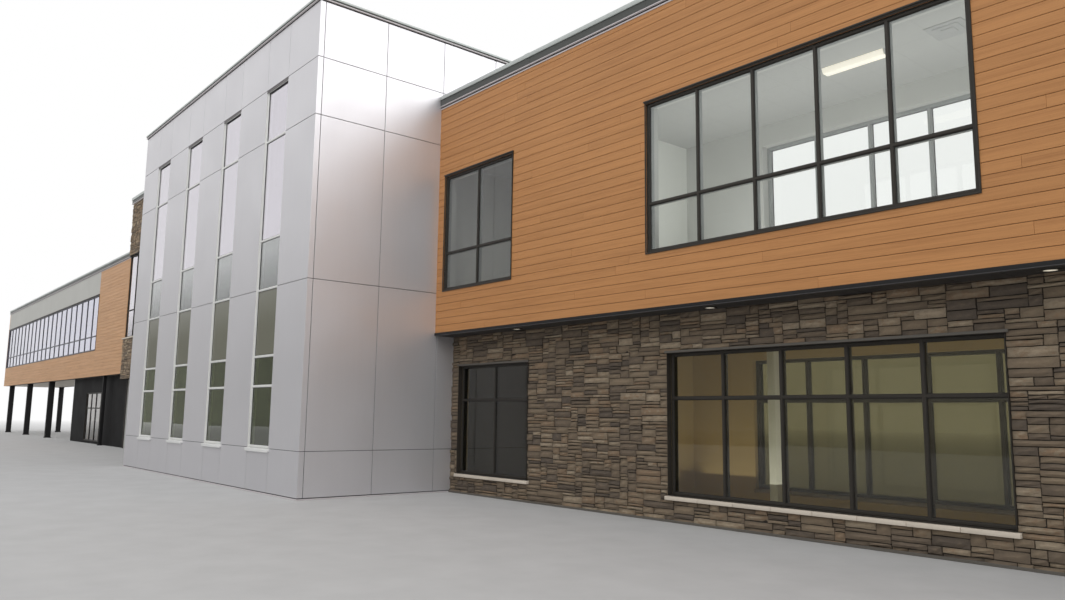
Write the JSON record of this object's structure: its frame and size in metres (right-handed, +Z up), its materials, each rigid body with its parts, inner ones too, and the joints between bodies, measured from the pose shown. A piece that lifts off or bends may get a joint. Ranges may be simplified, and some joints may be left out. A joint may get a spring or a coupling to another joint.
{
  "type": "school building, 1:2 scale model",
  "caption": "Two-storey school building with a metal-panelled tower, boarded and stone wings, ribbon glazing and an open portico, as a scale model.",
  "frame": {"origin": "middle of the building's plan at ground level", "axes": "+X along the front from the far wing to the right wing, +Y from the front to the rear, +Z up"},
  "size_m": [36.75, 4.78, 5.5],
  "materials": {
    "metal_panel": "satin silver composite panels",
    "coping_metal": "dark grey coated sheet",
    "silver_frame": "clear anodised, satin",
    "dark_frame": "dark bronze, satin",
    "clear_glass": "clear double glazing, faint green",
    "spandrel": "opaque olive-grey back-painted glass",
    "white_sill": "white coated sheet",
    "stone": "ledger stone veneer, mixed browns and greys",
    "boards": "horizontal boards, warm brown stain",
    "dark_trim": "dark grey sheet",
    "soffit": "pale panel",
    "cast_sill": "cream cast stone",
    "plaster": "matt painted plaster",
    "light_body": "white diffuser and housing",
    "grey_band": "pale grey panels",
    "block_panel": "near-black panels",
    "concrete": "smooth concrete",
    "roof_sheet": "grey roof membrane"
  },
  "bodies": {
    "root": {"tower_front_wall": "metal_panel", "tower_rear_wall": "metal_panel", "tower_side_walls": "metal_panel", "tower_coping": "coping_metal", "tower_window_frames": "silver_frame", "tower_glass": "clear_glass", "tower_spandrels": "spandrel", "tower_sills": "white_sill", "wing_lower_front_wall": "stone", "wing_lower_rear_wall": "stone", "wing_lower_end_wall": "stone", "wing_upper_front_wall": "boards", "wing_upper_rear_wall": "boards", "wing_upper_end_wall": "boards", "wing_soffit": "dark_trim", "soffit_lights": "light_body", "wing_trim": "dark_trim", "wing_coping": "coping_metal", "window_casings": "dark_frame", "wing_window_frames": "dark_frame", "wing_upper_glass": "clear_glass", "wing_lower_glass": "clear_glass", "stone_sills": "cast_sill", "wing_lining": "plaster", "partition_walls": "plaster", "upper_ceiling": "plaster", "ceiling_light": "light_body", "ceiling_grille": "light_body", "inner_column": "plaster", "pavilion_front_wall": "stone", "pavilion_rear_wall": "stone", "pavilion_side_walls": "stone", "pavilion_coping": "coping_metal", "pavilion_window_frames": "dark_frame", "pavilion_glass": "clear_glass", "entrance_walls": "block_panel", "far_low_walls": "boards", "far_full_walls": "boards", "far_band_walls": "grey_band", "far_end_wall": "boards", "far_coping": "coping_metal", "ribbon_frames": "dark_frame", "ribbon_glass": "clear_glass", "portico_soffit": "soffit", "portico_columns": "dark_trim", "block_long_walls": "block_panel", "block_end_wall": "block_panel", "screen_frame": "dark_frame", "screen_glass": "clear_glass", "ground_slabs": "concrete", "upper_floors": "concrete", "roof_decks": "roof_sheet"}
  },
  "joints": []
}
